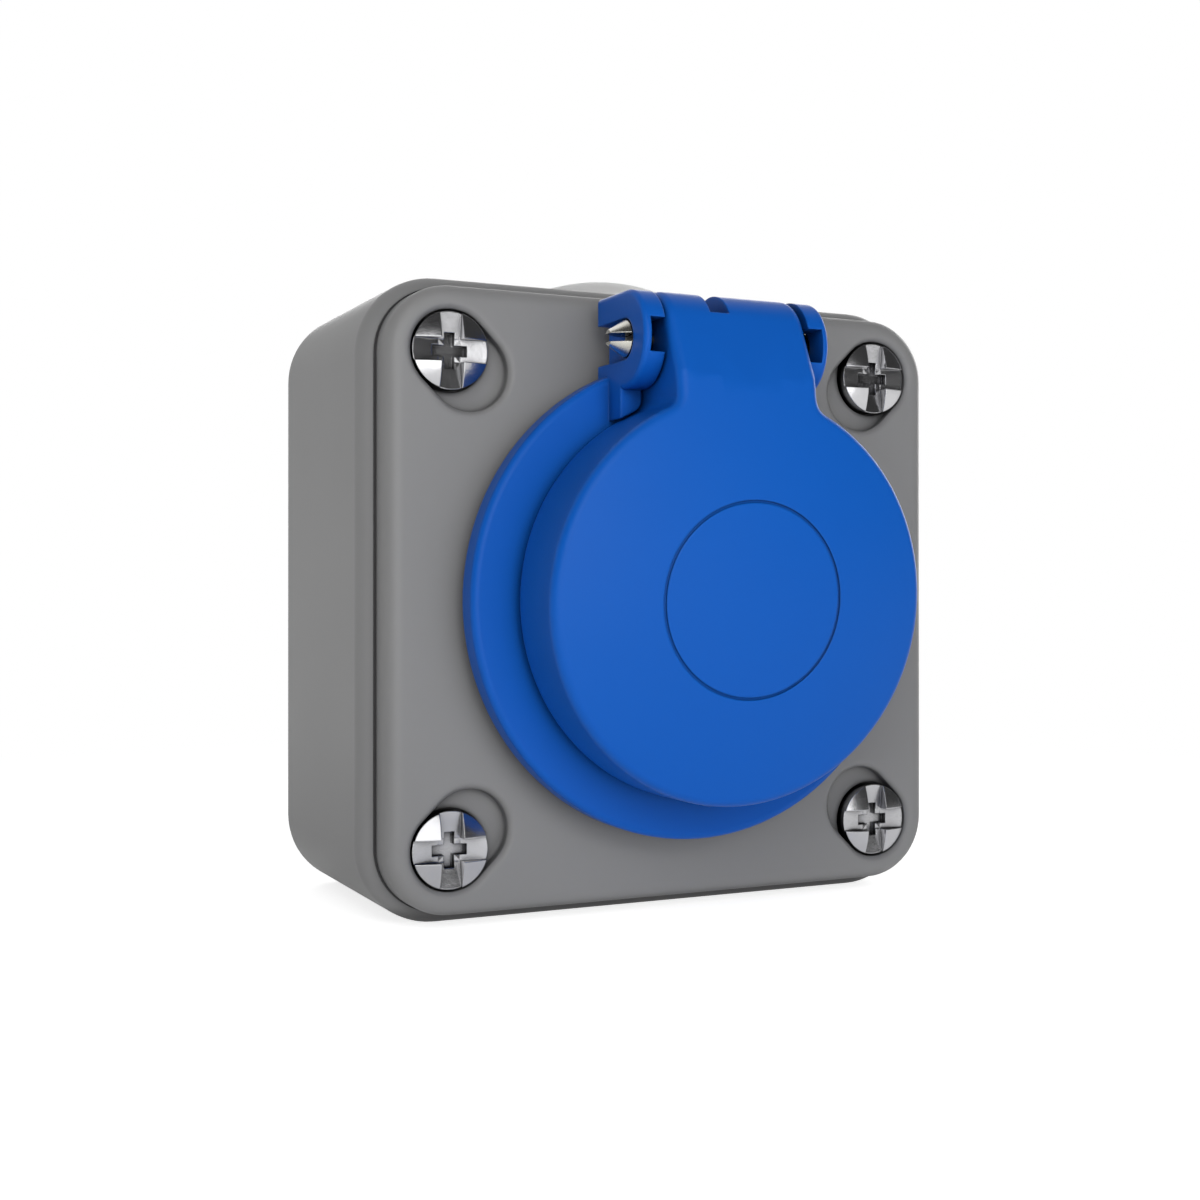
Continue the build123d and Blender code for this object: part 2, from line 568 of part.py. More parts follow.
def earth_strap():
    """Bent strip whose two arms grip the plug's earth contacts and whose middle is the earth terminal."""
    tip_z = COLLAR_Z - COLLAR_LIP_T - STRAP_TIP_DROP
    pinch_z = tip_z - STRAP_PINCH_DROP
    cross_z = CARRIER_BACK_Z - PLATE_T / 2
    half = [
        (0, cross_z),
        (STRAP_LEG_Y, cross_z),
        (STRAP_LEG_Y, WELL_FLOOR_Z + STRAP_BEND_RISE),
        (STRAP_PINCH_Y, pinch_z),
        (STRAP_LEG_Y - PLATE_T / 2, tip_z),
    ]
    body = Part()
    for side in (-1, 1):
        for start, end in zip(half, half[1:]):
            body += strip((side * start[0], start[1]), (side * end[0], end[1]))
    pad_low = CARRIER_BACK_Z - PLATE_T
    pad_half = FLAG_WIDTH / 2
    body += block(-pad_half, pad_half, FLAG_END_Y, TERMINAL_Y + pad_half, pad_low, CARRIER_BACK_Z)
    return body - disc(TERMINAL_SCREW_R + HOLE_CLEARANCE, pad_low, CARRIER_BACK_Z, 0, TERMINAL_Y)


def strip(start, end):
    """One straight stretch of the earth strap, seen from the side, with round ends at its bends."""
    path = Line(start, end)
    middle = ((start[0] + end[0]) / 2, (start[1] + end[1]) / 2)
    angle = path.tangent_angle_at(0)
    shape = Pos(*middle) * Rot(0, 0, angle) * Rectangle(path.length, PLATE_T)
    for point in (start, end):
        shape += Pos(*point) * Circle(PLATE_T / 2)
    side_plane = Plane(origin=(-STRAP_WIDTH / 2, 0, 0), x_dir=(0, 1, 0), z_dir=(1, 0, 0))
    return extrude(side_plane * shape, STRAP_WIDTH)


def headed_screw(x, y, seat, reach, shank_r, head_r, head_h):
    """Slotted screw put in from behind, its head below the seat."""
    body = disc(head_r, seat - head_h, seat, x, y)
    body += disc(shank_r, seat, seat + reach, x, y)
    slot_half = TERMINAL_SLOT_W / 2
    return body - block(x - head_r, x + head_r, y - slot_half, y + slot_half,
                        seat - head_h, seat - head_h / 2)


def terminal_screws():
    """Three clamp screws: left contact, earth, right contact."""
    reach = TERMINAL_SCREW_REACH + PLATE_T + CLAMP_T - BORE_END_GAP
    return [headed_screw(x, TERMINAL_Y, CLAMP_BACK_Z, reach, TERMINAL_SCREW_R, TERMINAL_HEAD_R,
                         TERMINAL_HEAD_H) for x in terminal_places()]


def terminal_clamps():
    """Square washers that press the wires onto the flags."""
    half = FLAG_WIDTH / 2
    plates = []
    for x in terminal_places():
        plate = block(x - half, x + half, TERMINAL_Y - half, TERMINAL_Y + half,
                      CLAMP_BACK_Z, CLAMP_BACK_Z + CLAMP_T)
        plates.append(plate - disc(TERMINAL_SCREW_R + HOLE_CLEARANCE, CLAMP_BACK_Z,
                                   CLAMP_BACK_Z + CLAMP_T, x, TERMINAL_Y))
    return plates


def carrier_screws():
    """Two screws that hold the carrier to the well."""
    reach = CARRIER_LENGTH + CARRIER_SCREW_BITE - BORE_END_GAP
    return [headed_screw(side * CARRIER_SCREW_X, CARRIER_SCREW_Y, CARRIER_BACK_Z, reach, CARRIER_SCREW_R,
                         CARRIER_SCREW_HEAD_R, CARRIER_SCREW_HEAD_H) for side in (-1, 1)]


def crown(offset):
    """The ball whose surface is the lid's tilted, gently domed face, or a wall's thickness inside it."""
    centre_y = LID_CROWN_R * sin(radians(LID_TILT_DEG))
    centre_z = LID_CROWN_Z - LID_CROWN_R * cos(radians(LID_TILT_DEG))
    return Pos(0, centre_y, centre_z) * Sphere(LID_CROWN_R - offset)


def lid_outline():
    """Front view of the lid: its round cap running into the neck with hollow corners."""
    neck = Pos(0, HINGE_Y / 2) * Rectangle(2 * NECK_HALF, HINGE_Y)
    shape = Circle(LID_R) + neck
    joints = [v for v in shape.vertices() if LID_R / 2 < v.Y < LID_R]
    shape = fillet(joints, LID_NECK_FILLET)
    return shape + Pos(0, HINGE_Y + KNUCKLE_R / 2) * Rectangle(2 * NECK_HALF, KNUCKLE_R)


def lid_side_limit():
    """Side view limit of the lid without its knuckle: straight skirt and sloping neck front."""
    slope = radians(NECK_SLOPE_DEG)
    tangent_y = HINGE_Y + KNUCKLE_R * sin(slope)
    tangent_z = HINGE_Z + KNUCKLE_R * cos(slope)
    low_y = -2 * LID_R
    low_z = tangent_z + (tangent_y - low_y) * sin(slope) / cos(slope)
    points = [
        (low_y, LID_SKIRT_Z),
        (HINGE_Y, LID_SKIRT_Z),
        (HINGE_Y, HINGE_Z),
        (tangent_y, tangent_z),
        (low_y, low_z),
    ]
    side_plane = Plane(origin=(-2 * LID_R, 0, 0), x_dir=(0, 1, 0), z_dir=(1, 0, 0))
    return extrude(side_plane * make_face(Polyline(*points, close=True)), 4 * LID_R)


def lid_knuckle():
    """Round bar that the hinge pin passes through, with the same soft edges as the neck."""
    bar = bar_along_x(KNUCKLE_R, -NECK_HALF, NECK_HALF, HINGE_Y, HINGE_Z)
    return fillet(bar.edges().filter_by(GeomType.CIRCLE), LID_EDGE_R)


def lid_front_edges(body):
    """Edges round the lid's domed face and sloping neck, without the ones that cross the neck."""
    fronts = [face for face in body.faces() if face.normal_at().Z > 0.3]
    edges = [edge for face in fronts for edge in face.edges()]
    return [edge for edge in edges if abs((edge @ 0.5).X) > 0.01 or (edge @ 0.5).Y < 0]


def finger_tab():
    """Small lip under the lid's lower edge for opening it."""
    cone = Cone(FINGER_TAB_R, FINGER_TAB_R - FINGER_TAB_T, FINGER_TAB_T,
                align=(Align.CENTER, Align.CENTER, Align.MIN))
    tab = Pos(0, -LID_R - FINGER_TAB_REACH + FINGER_TAB_R, 0) * cone
    tab -= disc(LID_R - LID_SKIRT_WALL / 2, 0, FINGER_TAB_T)
    return Pos(0, 0, LID_SKIRT_Z + FINGER_TAB_SETBACK) * tab


def hinge_lid():
    """Blue lid: domed cap with a skirt, neck and knuckle, hollow for the collar and the spring."""
    low = HINGE_Z - KNUCKLE_R
    body = Pos(0, 0, low) * extrude(lid_outline(), 2 * LID_CROWN_Z - low)
    body = body & lid_side_limit()
    body = body & crown(0)
    body = fillet(lid_front_edges(body), LID_EDGE_R)
    body = body.fuse(lid_knuckle(), tol=LID_FUSE_TOLERANCE)
    body += finger_tab()
    body -= disc(LID_R - LID_SKIRT_WALL, low, LID_SEAL_TOP_Z)
    inner_r = COLLAR_R - LID_SEAL_WIDTH
    body -= disc(inner_r, low, LID_CROWN_Z) & crown(LID_TOP_WALL)
    groove = ring(LID_RING_R + LID_RING_W / 2, LID_RING_R - LID_RING_W / 2, LID_SEAL_TOP_Z, 2 * LID_CROWN_Z)
    body -= groove - crown(LID_RING_DEPTH)
    body -= bar_along_x(SPRING_HOUSING_R, -SPRING_HOUSING_HALF, SPRING_HOUSING_HALF, HINGE_Y, HINGE_Z)
    body -= block(-SPRING_HOUSING_HALF, SPRING_HOUSING_HALF, HINGE_Y - SPRING_HOUSING_R,
                  HINGE_Y + SPRING_HOUSING_R, low, HINGE_Z)
    body -= block(SPRING_START_X - NOTCH_WIDTH / 2, SPRING_START_X + NOTCH_WIDTH / 2,
                  HINGE_Y + KNUCKLE_R - NOTCH_DEPTH, HINGE_Y + KNUCKLE_R, low, LID_CROWN_Z)
    body -= spring_leg_hole(1, SPRING_LID_LEG)
    return body - bar_along_x(PIN_R + PIN_CLEARANCE, -NECK_HALF, NECK_HALF, HINGE_Y, HINGE_Z)


def lid_seal():
    """Flat rubber ring inside the lid that closes on the collar's rim."""
    return ring(COLLAR_R, COLLAR_R - LID_SEAL_WIDTH, LID_SEAL_Z, LID_SEAL_TOP_Z)


def hinge_pin():
    """Steel pin with a slotted cone at its left end, pushed through both ears and the knuckle."""
    recess_x = EAR_OUTER_X - EAR_RECESS_DEPTH
    body = bar_along_x(PIN_R, -recess_x, recess_x, HINGE_Y, HINGE_Z)
    body += bar_along_x(PIN_CONE_R, -EAR_OUTER_X, -recess_x, HINGE_Y, HINGE_Z)
    body += bar_along_x(PIN_CONE_R, recess_x, EAR_OUTER_X, HINGE_Y, HINGE_Z)
    cone = Cone(PIN_CONE_R, PIN_CONE_TIP_R, PIN_CONE_LENGTH, align=(Align.CENTER, Align.CENTER, Align.MIN))
    body += Pos(-EAR_OUTER_X, HINGE_Y, HINGE_Z) * Rot(0, -90, 0) * cone
    slot_x = EAR_OUTER_X + PIN_CONE_LENGTH
    half = PIN_SLOT_W / 2
    return body - block(-slot_x, PIN_SLOT_LENGTH - slot_x, HINGE_Y - half, HINGE_Y + half,
                        HINGE_Z - PIN_CONE_R, HINGE_Z + PIN_CONE_R)


def spring_coil_path():
    """Centre line of the spring's coil, wound left-handed round the hinge pin."""
    helix = Helix(SPRING_PITCH, SPRING_TURNS * SPRING_PITCH, SPRING_MEAN_R, lefthand=True)
    return Pos(SPRING_START_X, HINGE_Y, HINGE_Z) * Rot(0, 90, 0) * Rot(0, 0, -90) * helix


def spring_leg_hole(end, reach):
    """Hole for a leg of the spring, in line with that end of its coil."""
    coil = spring_coil_path()
    outward = coil % end if end == 1 else (coil % end) * -1
    hole = extrude(Circle(SPRING_WIRE_R + HOLE_CLEARANCE), reach + BORE_END_GAP)
    return Plane(origin=coil @ end, z_dir=outward) * hole


def lid_spring():
    """Torsion spring round the pin, with one leg in the flange and one in the lid's neck."""
    coil = spring_coil_path()
    frame_leg = Line(coil @ 0 - (coil % 0) * SPRING_FRAME_LEG, coil @ 0)
    lid_leg = Line(coil @ 1, coil @ 1 + (coil % 1) * SPRING_LID_LEG)
    section = Plane(origin=frame_leg @ 0, z_dir=frame_leg % 0) * Circle(SPRING_WIRE_R)
    return sweep(section, Wire([frame_leg, coil, lid_leg]))


def cable_membrane():
    """Soft domed membrane snapped into the hole in the top of the box."""
    neck_r = MEMBRANE_HOLE_R - MEMBRANE_FIT
    inside_r = neck_r - MEMBRANE_NECK_WALL
    cap_rise = MEMBRANE_RISE - MEMBRANE_RIM_T
    dome_r = (MEMBRANE_RIM_R ** 2 + cap_rise ** 2) / (2 * cap_rise)
    middle = Pos(0, 0, MEMBRANE_RISE - dome_r)
    body = disc(MEMBRANE_RIM_R, 0, MEMBRANE_RISE) & (middle * Sphere(dome_r))
    body += disc(neck_r, -BOX_WALL - MEMBRANE_LIP_T, 0)
    lip = Cone(neck_r, MEMBRANE_LIP_R, MEMBRANE_LIP_T, align=(Align.CENTER, Align.CENTER, Align.MIN))
    body += Pos(0, 0, -BOX_WALL - MEMBRANE_LIP_T) * lip
    hollow = disc(inside_r, -BOX_WALL - MEMBRANE_LIP_T, MEMBRANE_RISE)
    body -= hollow & (middle * Sphere(dome_r - MEMBRANE_SKIN))
    return Pos(0, BOX_SIDE / 2, MEMBRANE_Z) * Rot(-90, 0, 0) * body


def nodes():
    """Every piece of the socket by name, drawn as seen from the front."""
    screws = [cover_screw(x, y) for x, y in corners(SCREW_AT, SCREW_AT)]
    return {
        "housing": housing(),
        "cover_seal": cover_seal(),
        "cover_inserts": cover_inserts(),
        "cover": cover(),
        "cover_screws": screws,
        "flange_seal": flange_seal(),
        "socket_frame": socket_frame(),
        "clamp_nut": clamp_nut(),
        "contact_well": contact_well(),
        "retaining_ring": retaining_ring(),
        "contact_carrier": contact_carrier(),
        "contact_left": contact(-1),
        "contact_right": contact(1),
        "clamp_ring_left": contact_clamp_ring(-1),
        "clamp_ring_right": contact_clamp_ring(1),
        "earth_strap": earth_strap(),
        "terminal_screws": terminal_screws(),
        "terminal_clamps": terminal_clamps(),
        "carrier_screws": carrier_screws(),
        "hinge_lid": hinge_lid(),
        "lid_seal": lid_seal(),
        "hinge_pin": hinge_pin(),
        "lid_spring": lid_spring(),
        "cable_membrane": cable_membrane(),
    }


def write_nodes():
    """Turn each piece into the model frame and write one file for each."""
    os.makedirs("parts", exist_ok=True)
    for name, piece in nodes().items():
        solids = piece if isinstance(piece, list) else [piece]
        turned = [solid for item in solids for solid in (Rot(90, 0, 0) * item).solids()]
        shape = turned[0] if len(turned) == 1 else Compound(children=turned)
        export_step(shape, f"parts/{name}.step")


write_nodes()
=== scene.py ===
import bpy
from math import radians
from mathutils import Euler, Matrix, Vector


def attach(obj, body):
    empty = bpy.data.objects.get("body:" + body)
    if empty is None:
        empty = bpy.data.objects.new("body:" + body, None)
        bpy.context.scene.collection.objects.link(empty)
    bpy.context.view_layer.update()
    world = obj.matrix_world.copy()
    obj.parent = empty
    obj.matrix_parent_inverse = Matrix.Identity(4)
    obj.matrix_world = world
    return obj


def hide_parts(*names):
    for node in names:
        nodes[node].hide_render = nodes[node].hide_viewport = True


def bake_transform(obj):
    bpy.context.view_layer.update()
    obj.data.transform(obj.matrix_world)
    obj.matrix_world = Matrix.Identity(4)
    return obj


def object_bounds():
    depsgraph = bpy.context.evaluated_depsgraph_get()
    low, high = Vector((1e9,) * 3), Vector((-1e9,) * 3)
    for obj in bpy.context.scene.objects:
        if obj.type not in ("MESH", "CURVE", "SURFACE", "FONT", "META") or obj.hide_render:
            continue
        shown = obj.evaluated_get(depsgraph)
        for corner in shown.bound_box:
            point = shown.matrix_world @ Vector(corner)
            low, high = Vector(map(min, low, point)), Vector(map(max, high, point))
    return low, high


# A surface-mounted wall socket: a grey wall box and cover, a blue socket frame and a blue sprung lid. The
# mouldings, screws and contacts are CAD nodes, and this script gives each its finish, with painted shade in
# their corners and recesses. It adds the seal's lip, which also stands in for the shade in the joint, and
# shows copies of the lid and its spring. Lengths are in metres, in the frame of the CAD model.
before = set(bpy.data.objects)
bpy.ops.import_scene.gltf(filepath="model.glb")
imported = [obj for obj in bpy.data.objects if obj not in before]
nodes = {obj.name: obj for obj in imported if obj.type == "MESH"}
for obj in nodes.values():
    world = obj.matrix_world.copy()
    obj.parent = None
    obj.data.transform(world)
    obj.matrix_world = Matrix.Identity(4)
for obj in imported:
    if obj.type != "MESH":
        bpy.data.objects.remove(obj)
cad_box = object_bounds()


# Wall box: a deep square moulding in grey plastic, open at the front, screwed to the wall through its
# back. It comes from a polished mould, so it has a satin skin with a very fine grain.
class Value:
    """An output in a material's node tree; sums on it add Math nodes."""

    def __init__(self, tree, socket=None):
        self.tree = tree
        self.socket = socket

    def node(self, kind, settings=None, inputs=None, output=0):
        """Adds a node, gives it its settings and then its sockets, and returns one of its outputs."""
        made = self.tree.nodes.new(kind)
        for name, setting in (settings or {}).items():
            setattr(made, name, setting)
        for name, value in (inputs or {}).items():
            if isinstance(value, Value):
                self.tree.links.new(value.socket, made.inputs[name])
            else:
                made.inputs[name].default_value = value
        return Value(self.tree, made.outputs[output] if made.outputs else None)

    def maths(self, operation, first, second):
        """Adds a Math node on two values or numbers."""
        return self.node("ShaderNodeMath", {"operation": operation}, {0: first, 1: second})

    def __add__(self, other):
        return self.maths("ADD", self, other)

    def __radd__(self, other):
        return self.maths("ADD", other, self)

    def __sub__(self, other):
        return self.maths("SUBTRACT", self, other)

    def __rsub__(self, other):
        return self.maths("SUBTRACT", other, self)

    def __mul__(self, other):
        return self.maths("MULTIPLY", self, other)

    def __rmul__(self, other):
        return self.maths("MULTIPLY", other, self)


def new_material(name):
    """An empty material, with the start of its node tree."""
    material = bpy.data.materials.new(name)
    material.use_nodes = True
    material.node_tree.nodes.clear()
    return material, Value(material.node_tree)


# Painted shade in corners and gaps: how dark it gets, how far it reaches and how open a spot must be to stay
# unshaded.
CORNER_SHADE_LEVEL = 0.35
CORNER_SHADE_REACH = 0.003
CORNER_SHADE_OPEN = (0.2, 0.95)
CORNER_SHADE_SAMPLES = 8


def painted_corner_shade(start, tint, shaded_colour, reach):
    """Paints shade: turns a colour to a darker one in corners and gaps that are narrower than a reach, where
    shade falls.
    """
    open_sky = start.node("ShaderNodeAmbientOcclusion", {"samples": CORNER_SHADE_SAMPLES},
                          {"Distance": reach}, "AO")
    unshaded = start.node("ShaderNodeMapRange", {"interpolation_type": "SMOOTHSTEP"}, {
        "Value": open_sky, "From Min": CORNER_SHADE_OPEN[0], "From Max": CORNER_SHADE_OPEN[1]})
    return start.node("ShaderNodeMix", {"data_type": "RGBA"}, {"Factor": unshaded, "A": shaded_colour, "B": tint}, 2)


FLOW_SCALE = 38.0
FLOW_GLOSS = 0.08
PLASTIC_GRAIN_SCALE = 2600.0
PLASTIC_GRAIN_GLOSS = 0.03
PLASTIC_GRAIN_DEPTH = 0.00004
PLASTIC_GRAIN_STRENGTH = 0.12
PLASTIC_EDGE_SAMPLES = 8


def moulded_plastic(name, colour, pale, roughness, specular, softness):
    """Satin moulded plastic: faint flow marks in its colour and gloss, a fine skin grain, soft edges and
    painted shade in its corners.
    """
    material, start = new_material(name)
    place = start.node("ShaderNodeTexCoord", output="Object")
    flow = start.node("ShaderNodeTexNoise", inputs={"Vector": place, "Scale": FLOW_SCALE, "Detail": 3.0})
    grain = start.node("ShaderNodeTexNoise", inputs={
        "Vector": place, "Scale": PLASTIC_GRAIN_SCALE, "Detail": 2.0})
    tint = start.node("ShaderNodeMix", {"data_type": "RGBA"}, {"Factor": flow, "A": colour, "B": pale}, 2)
    # Painted shade: the colour darkens in corners and gaps, where shade falls.
    tint = painted_corner_shade(start, tint, [CORNER_SHADE_LEVEL * part for part in colour[:3]] + [1], CORNER_SHADE_REACH)
    rough = roughness - FLOW_GLOSS / 2 + FLOW_GLOSS * flow + PLASTIC_GRAIN_GLOSS * grain
    edge = start.node("ShaderNodeBevel", {"samples": PLASTIC_EDGE_SAMPLES}, {"Radius": softness})
    skin = start.node("ShaderNodeBump", inputs={
        "Strength": PLASTIC_GRAIN_STRENGTH, "Distance": PLASTIC_GRAIN_DEPTH, "Height": grain, "Normal": edge})
    shader = start.node("ShaderNodeBsdfPrincipled", inputs={
        "Base Color": tint, "Roughness": rough, "Normal": skin, "Specular IOR Level": specular})
    start.node("ShaderNodeOutputMaterial", inputs={"Surface": shader})
    return material


def give(material, *names):
    """Puts one material on CAD nodes."""
    for name in names:
        mesh = nodes[name].data
        mesh.materials.clear()
        mesh.materials.append(material)


GREY = (0.205, 0.205, 0.207, 1)
PALE_GREY = (0.222, 0.222, 0.223, 1)
BOX_EDGE_SOFTNESS = 0.00035
grey = moulded_plastic("grey_plastic", GREY, PALE_GREY, roughness=0.42, specular=0.45,
                       softness=BOX_EDGE_SOFTNESS)
give(grey, "housing")

# Cover: a flat lid of the same plastic, held on the box by four screws in its corners. The edges round its
# screw pockets are softer.
COVER_EDGE_SOFTNESS = 0.001
cover_grey = moulded_plastic("cover_plastic", GREY, PALE_GREY, roughness=0.42, specular=0.45,
                             softness=COVER_EDGE_SOFTNESS)
give(cover_grey, "cover")

# Seals: black rubber, with a round cord in the joint of the box and its cover, a flat gasket behind the
# flange and a ring in the lid. The first two are held between the pieces that they seal.
DUST_SCALE = 160.0
DUST_ROUGHNESS = 0.12
RUBBER_GRAIN_SCALE = 3200.0
RUBBER_GRAIN_DEPTH = 0.00005
RUBBER_GRAIN_STRENGTH = 0.2
RUBBER_EDGE_SOFTNESS = 0.0003
RUBBER_EDGE_SAMPLES = 6


def soft_rubber(name, colour, pale, roughness):
    """Matte rubber with a dusty skin."""
    material, start = new_material(name)
    place = start.node("ShaderNodeTexCoord", output="Object")
    dust = start.node("ShaderNodeTexNoise", inputs={"Vector": place, "Scale": DUST_SCALE, "Detail": 5.0})
    skin = start.node("ShaderNodeTexNoise", inputs={
        "Vector": place, "Scale": RUBBER_GRAIN_SCALE, "Detail": 2.0})
    tint = start.node("ShaderNodeMix", {"data_type": "RGBA"}, {"Factor": dust, "A": colour, "B": pale}, 2)
    edge = start.node("ShaderNodeBevel", {"samples": RUBBER_EDGE_SAMPLES}, {"Radius": RUBBER_EDGE_SOFTNESS})
    bump = start.node("ShaderNodeBump", inputs={
        "Strength": RUBBER_GRAIN_STRENGTH, "Distance": RUBBER_GRAIN_DEPTH, "Height": skin, "Normal": edge})
    shader = start.node("ShaderNodeBsdfPrincipled", inputs={
        "Base Color": tint, "Roughness": roughness + DUST_ROUGHNESS * dust, "Normal": bump})
    start.node("ShaderNodeOutputMaterial", inputs={"Surface": shader})
    return material


SEAL_BLACK = (0.012, 0.012, 0.012, 1)
DUSTY_BLACK = (0.03, 0.03, 0.031, 1)
seal_rubber = soft_rubber("seal_rubber", SEAL_BLACK, DUSTY_BLACK, roughness=0.6)
give(seal_rubber, "cover_seal", "flange_seal", "lid_seal")

# Edge of the cover's seal: a flat lip of the same rubber that fills the joint between the cover and the box
# all round and stands a little proud of the cover's side. It is partly the seal's edge and partly a dark
# strip that stands in for the shade in the joint, so that the joint shows as a dark line.
LIP_SIDE = 0.0768
LIP_CORNER = 0.0084
LIP_CORNER_STEPS = 16
LIP_WIDTH = 0.00095
LIP_HEIGHT = 0.00056
LIP_FACE = -0.03788
LIP_SOFTNESS = 0.00012
LIP_SOFT_STEPS = 2
LIP_CREASE = 40
bpy.ops.object.select_all(action="DESELECT")
bpy.ops.mesh.primitive_plane_add(size=LIP_SIDE, location=(0, LIP_FACE, 0), rotation=(radians(90), 0, 0))
lip = bpy.context.object
lip.name = "seal_lip_and_joint_shade"
bpy.ops.object.transform_apply(location=True, rotation=True, scale=True)
bpy.ops.object.mode_set(mode="EDIT")
bpy.ops.mesh.select_all(action="SELECT")
bpy.ops.mesh.bevel(offset=LIP_CORNER, segments=LIP_CORNER_STEPS, affect="VERTICES")
bpy.ops.mesh.select_all(action="SELECT")
bpy.ops.mesh.inset(thickness=LIP_WIDTH, depth=0)
bpy.ops.mesh.delete(type="FACE")
bpy.ops.mesh.select_all(action="SELECT")
bpy.ops.mesh.extrude_region_move(TRANSFORM_OT_translate={"value": (0, LIP_HEIGHT, 0)})
bpy.ops.mesh.select_all(action="SELECT")
bpy.ops.mesh.normals_make_consistent(inside=False)
bpy.ops.object.mode_set(mode="OBJECT")
soften = lip.modifiers.new("soften", "BEVEL")
soften.width = LIP_SOFTNESS
soften.segments = LIP_SOFT_STEPS
bpy.ops.object.modifier_apply(modifier=soften.name)
bpy.ops.object.shade_smooth_by_angle(angle=radians(LIP_CREASE))
lip.data.materials.append(seal_rubber)
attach(lip, "root")

# Cable membrane: a soft dome in pale rubber, snapped into the hole on top of the box. A cable is pushed
# through its thin middle.
MEMBRANE_PALE = (0.76, 0.76, 0.755, 1)
MEMBRANE_WHITE = (0.84, 0.84, 0.835, 1)
give(soft_rubber("membrane_rubber", MEMBRANE_PALE, MEMBRANE_WHITE, roughness=0.5), "cable_membrane")

# Metal parts: screws, clamps and hinge pin in steel with a bright plating, which still shows fine marks from
# turning, a spring and rings in darker drawn steel, and contacts and inserts in brass.
CLOUD_SCALE = 420.0
CLOUD_GLOSS = 0.1
CLOUD_DEPTH = 0.0001
CLOUD_STRENGTH = 0.5
MARK_SCALE = 5200.0
MARK_DEPTH = 0.00002
METAL_EDGE_SOFTNESS = 0.0002
METAL_EDGE_SAMPLES = 6
# Painted shade in the metal's recesses: its near-black colour and how far it reaches.
RECESS_SHADE_BLACK = (0.02, 0.02, 0.022, 1)
RECESS_SHADE_REACH = 0.003


def plated_metal(name, colour, worn, roughness, marks):
    """Polished or drawn metal with fine marks in its gloss, and painted shade that darkens its recesses."""
    material, start = new_material(name)
    place = start.node("ShaderNodeTexCoord", output="Object")
    cloud = start.node("ShaderNodeTexNoise", inputs={"Vector": place, "Scale": CLOUD_SCALE, "Detail": 4.0})
    fine = start.node("ShaderNodeTexNoise", inputs={"Vector": place, "Scale": MARK_SCALE, "Detail": 3.0})
    tint = start.node("ShaderNodeMix", {"data_type": "RGBA"}, {"Factor": cloud, "A": colour, "B": worn}, 2)
    edge = start.node("ShaderNodeBevel", {"samples": METAL_EDGE_SAMPLES}, {"Radius": METAL_EDGE_SOFTNESS})
    # Painted shade: the colour turns near black in recesses, such as the screws' crosses.
    tint = painted_corner_shade(start, tint, RECESS_SHADE_BLACK, RECESS_SHADE_REACH)
    wave = start.node("ShaderNodeBump", inputs={
        "Strength": CLOUD_STRENGTH, "Distance": CLOUD_DEPTH, "Height": cloud, "Normal": edge})
    bump = start.node("ShaderNodeBump", inputs={
        "Strength": marks, "Distance": MARK_DEPTH, "Height": fine, "Normal": wave})
    shader = start.node("ShaderNodeBsdfPrincipled", inputs={
        "Base Color": tint, "Metallic": 1.0, "Roughness": roughness + CLOUD_GLOSS * cloud, "Normal": bump})
    start.node("ShaderNodeOutputMaterial", inputs={"Surface": shader})
    return material


plated_steel = plated_metal("plated_steel", (0.55, 0.55, 0.57, 1), (0.66, 0.66, 0.67, 1),
                            roughness=0.16, marks=0.25)
give(plated_steel, "cover_screws", "terminal_screws", "terminal_clamps", "carrier_screws")
pin_steel = plated_metal("pin_steel", (0.7, 0.68, 0.6, 1), (0.8, 0.79, 0.74, 1), roughness=0.22, marks=0.25)
give(pin_steel, "hinge_pin")
spring_steel = plated_metal("spring_steel", (0.3, 0.3, 0.31, 1), (0.42, 0.42, 0.42, 1),
                            roughness=0.26, marks=0.4)
give(spring_steel, "retaining_ring", "clamp_ring_left", "clamp_ring_right")
contact_brass = plated_metal("contact_brass", (0.66, 0.5, 0.22, 1), (0.78, 0.64, 0.34, 1),
                             roughness=0.2, marks=0.3)
give(contact_brass, "contact_left", "contact_right", "earth_strap", "cover_inserts")

# Socket frame and plug well: two mouldings in one blue plastic, a little glossier than the grey. The frame's
# flange stands on the cover, and an open ring holds the well in the frame from behind.
BLUE = (0.0042, 0.091, 0.437, 1)
PALE_BLUE = (0.0052, 0.098, 0.461, 1)
BLUE_EDGE_SOFTNESS = 0.00035
blue = moulded_plastic("blue_plastic", BLUE, PALE_BLUE, roughness=0.36, specular=0.12,
                       softness=BLUE_EDGE_SOFTNESS)
give(blue, "socket_frame", "contact_well")

# Lid: one moulding in the same blue, a domed cap with its skirt, neck and knuckle. The solid's mesh has stray
# normals at the pole of its ball-shaped face, so a joined copy of it with clean ones is shown in its place.
JOIN = 0.000001
LID_CREASE = 28


def joined_copy(name, node, crease, material):
    """A copy of a node's mesh with its loose triangles joined, smooth up to a crease angle."""
    bpy.ops.object.select_all(action="DESELECT")
    piece = bpy.data.objects.new(name, nodes[node].data.copy())
    bpy.context.scene.collection.objects.link(piece)
    bpy.context.view_layer.objects.active = piece
    piece.select_set(True)
    bpy.ops.mesh.customdata_custom_splitnormals_clear()
    bpy.ops.object.mode_set(mode="EDIT")
    bpy.ops.mesh.select_all(action="SELECT")
    bpy.ops.mesh.remove_doubles(threshold=JOIN)
    bpy.ops.object.mode_set(mode="OBJECT")
    bpy.ops.object.shade_smooth_by_angle(angle=radians(crease))
    piece.data.materials.clear()
    piece.data.materials.append(material)
    return piece


